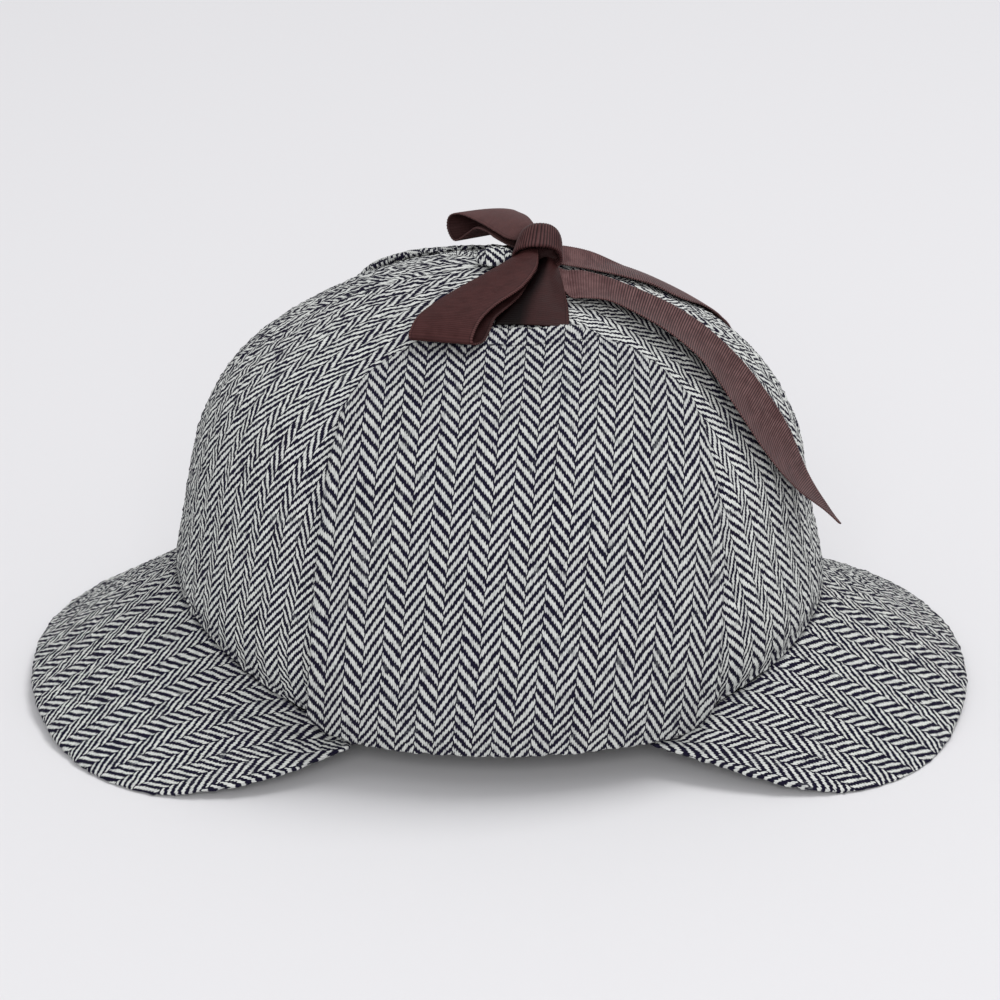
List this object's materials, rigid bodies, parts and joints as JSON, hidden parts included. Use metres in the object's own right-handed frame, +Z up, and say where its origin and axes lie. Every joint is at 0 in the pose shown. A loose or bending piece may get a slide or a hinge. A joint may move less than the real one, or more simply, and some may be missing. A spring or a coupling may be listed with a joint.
{
  "type": "deerstalker hat",
  "caption": "Grey and navy herringbone tweed deerstalker hat with a peak front and back, ear flaps folded up and a brown grosgrain ribbon tied in a bow on top.",
  "frame": {"origin": "the middle of the hat's outline seen from above, on the surface that it stands on", "axes": "+X runs from the front peak to the back peak, +Y from the near ear flap to the far one, and +Z is up"},
  "size_m": [0.3182, 0.1892, 0.1602],
  "materials": {
    "tweed": "wool herringbone, pale grey and navy black",
    "ribbon": "dark brown grosgrain with a soft sheen"
  },
  "bodies": {
    "root": {"panel_front_near": "tweed", "panel_side_near": "tweed", "panel_back_near": "tweed", "panel_front_far": "tweed", "panel_side_far": "tweed", "panel_back_far": "tweed", "top_button": "tweed", "front_peak": "tweed", "back_peak": "tweed", "ear_flap_near": "tweed", "ear_flap_far": "tweed", "tie_knot": "ribbon", "tie_loop_near": "ribbon", "tie_loop_far": "ribbon", "tie_leg_near": "ribbon", "tie_leg_far": "ribbon", "tie_tail_near": "ribbon", "tie_tail_far": "ribbon"}
  },
  "joints": []
}
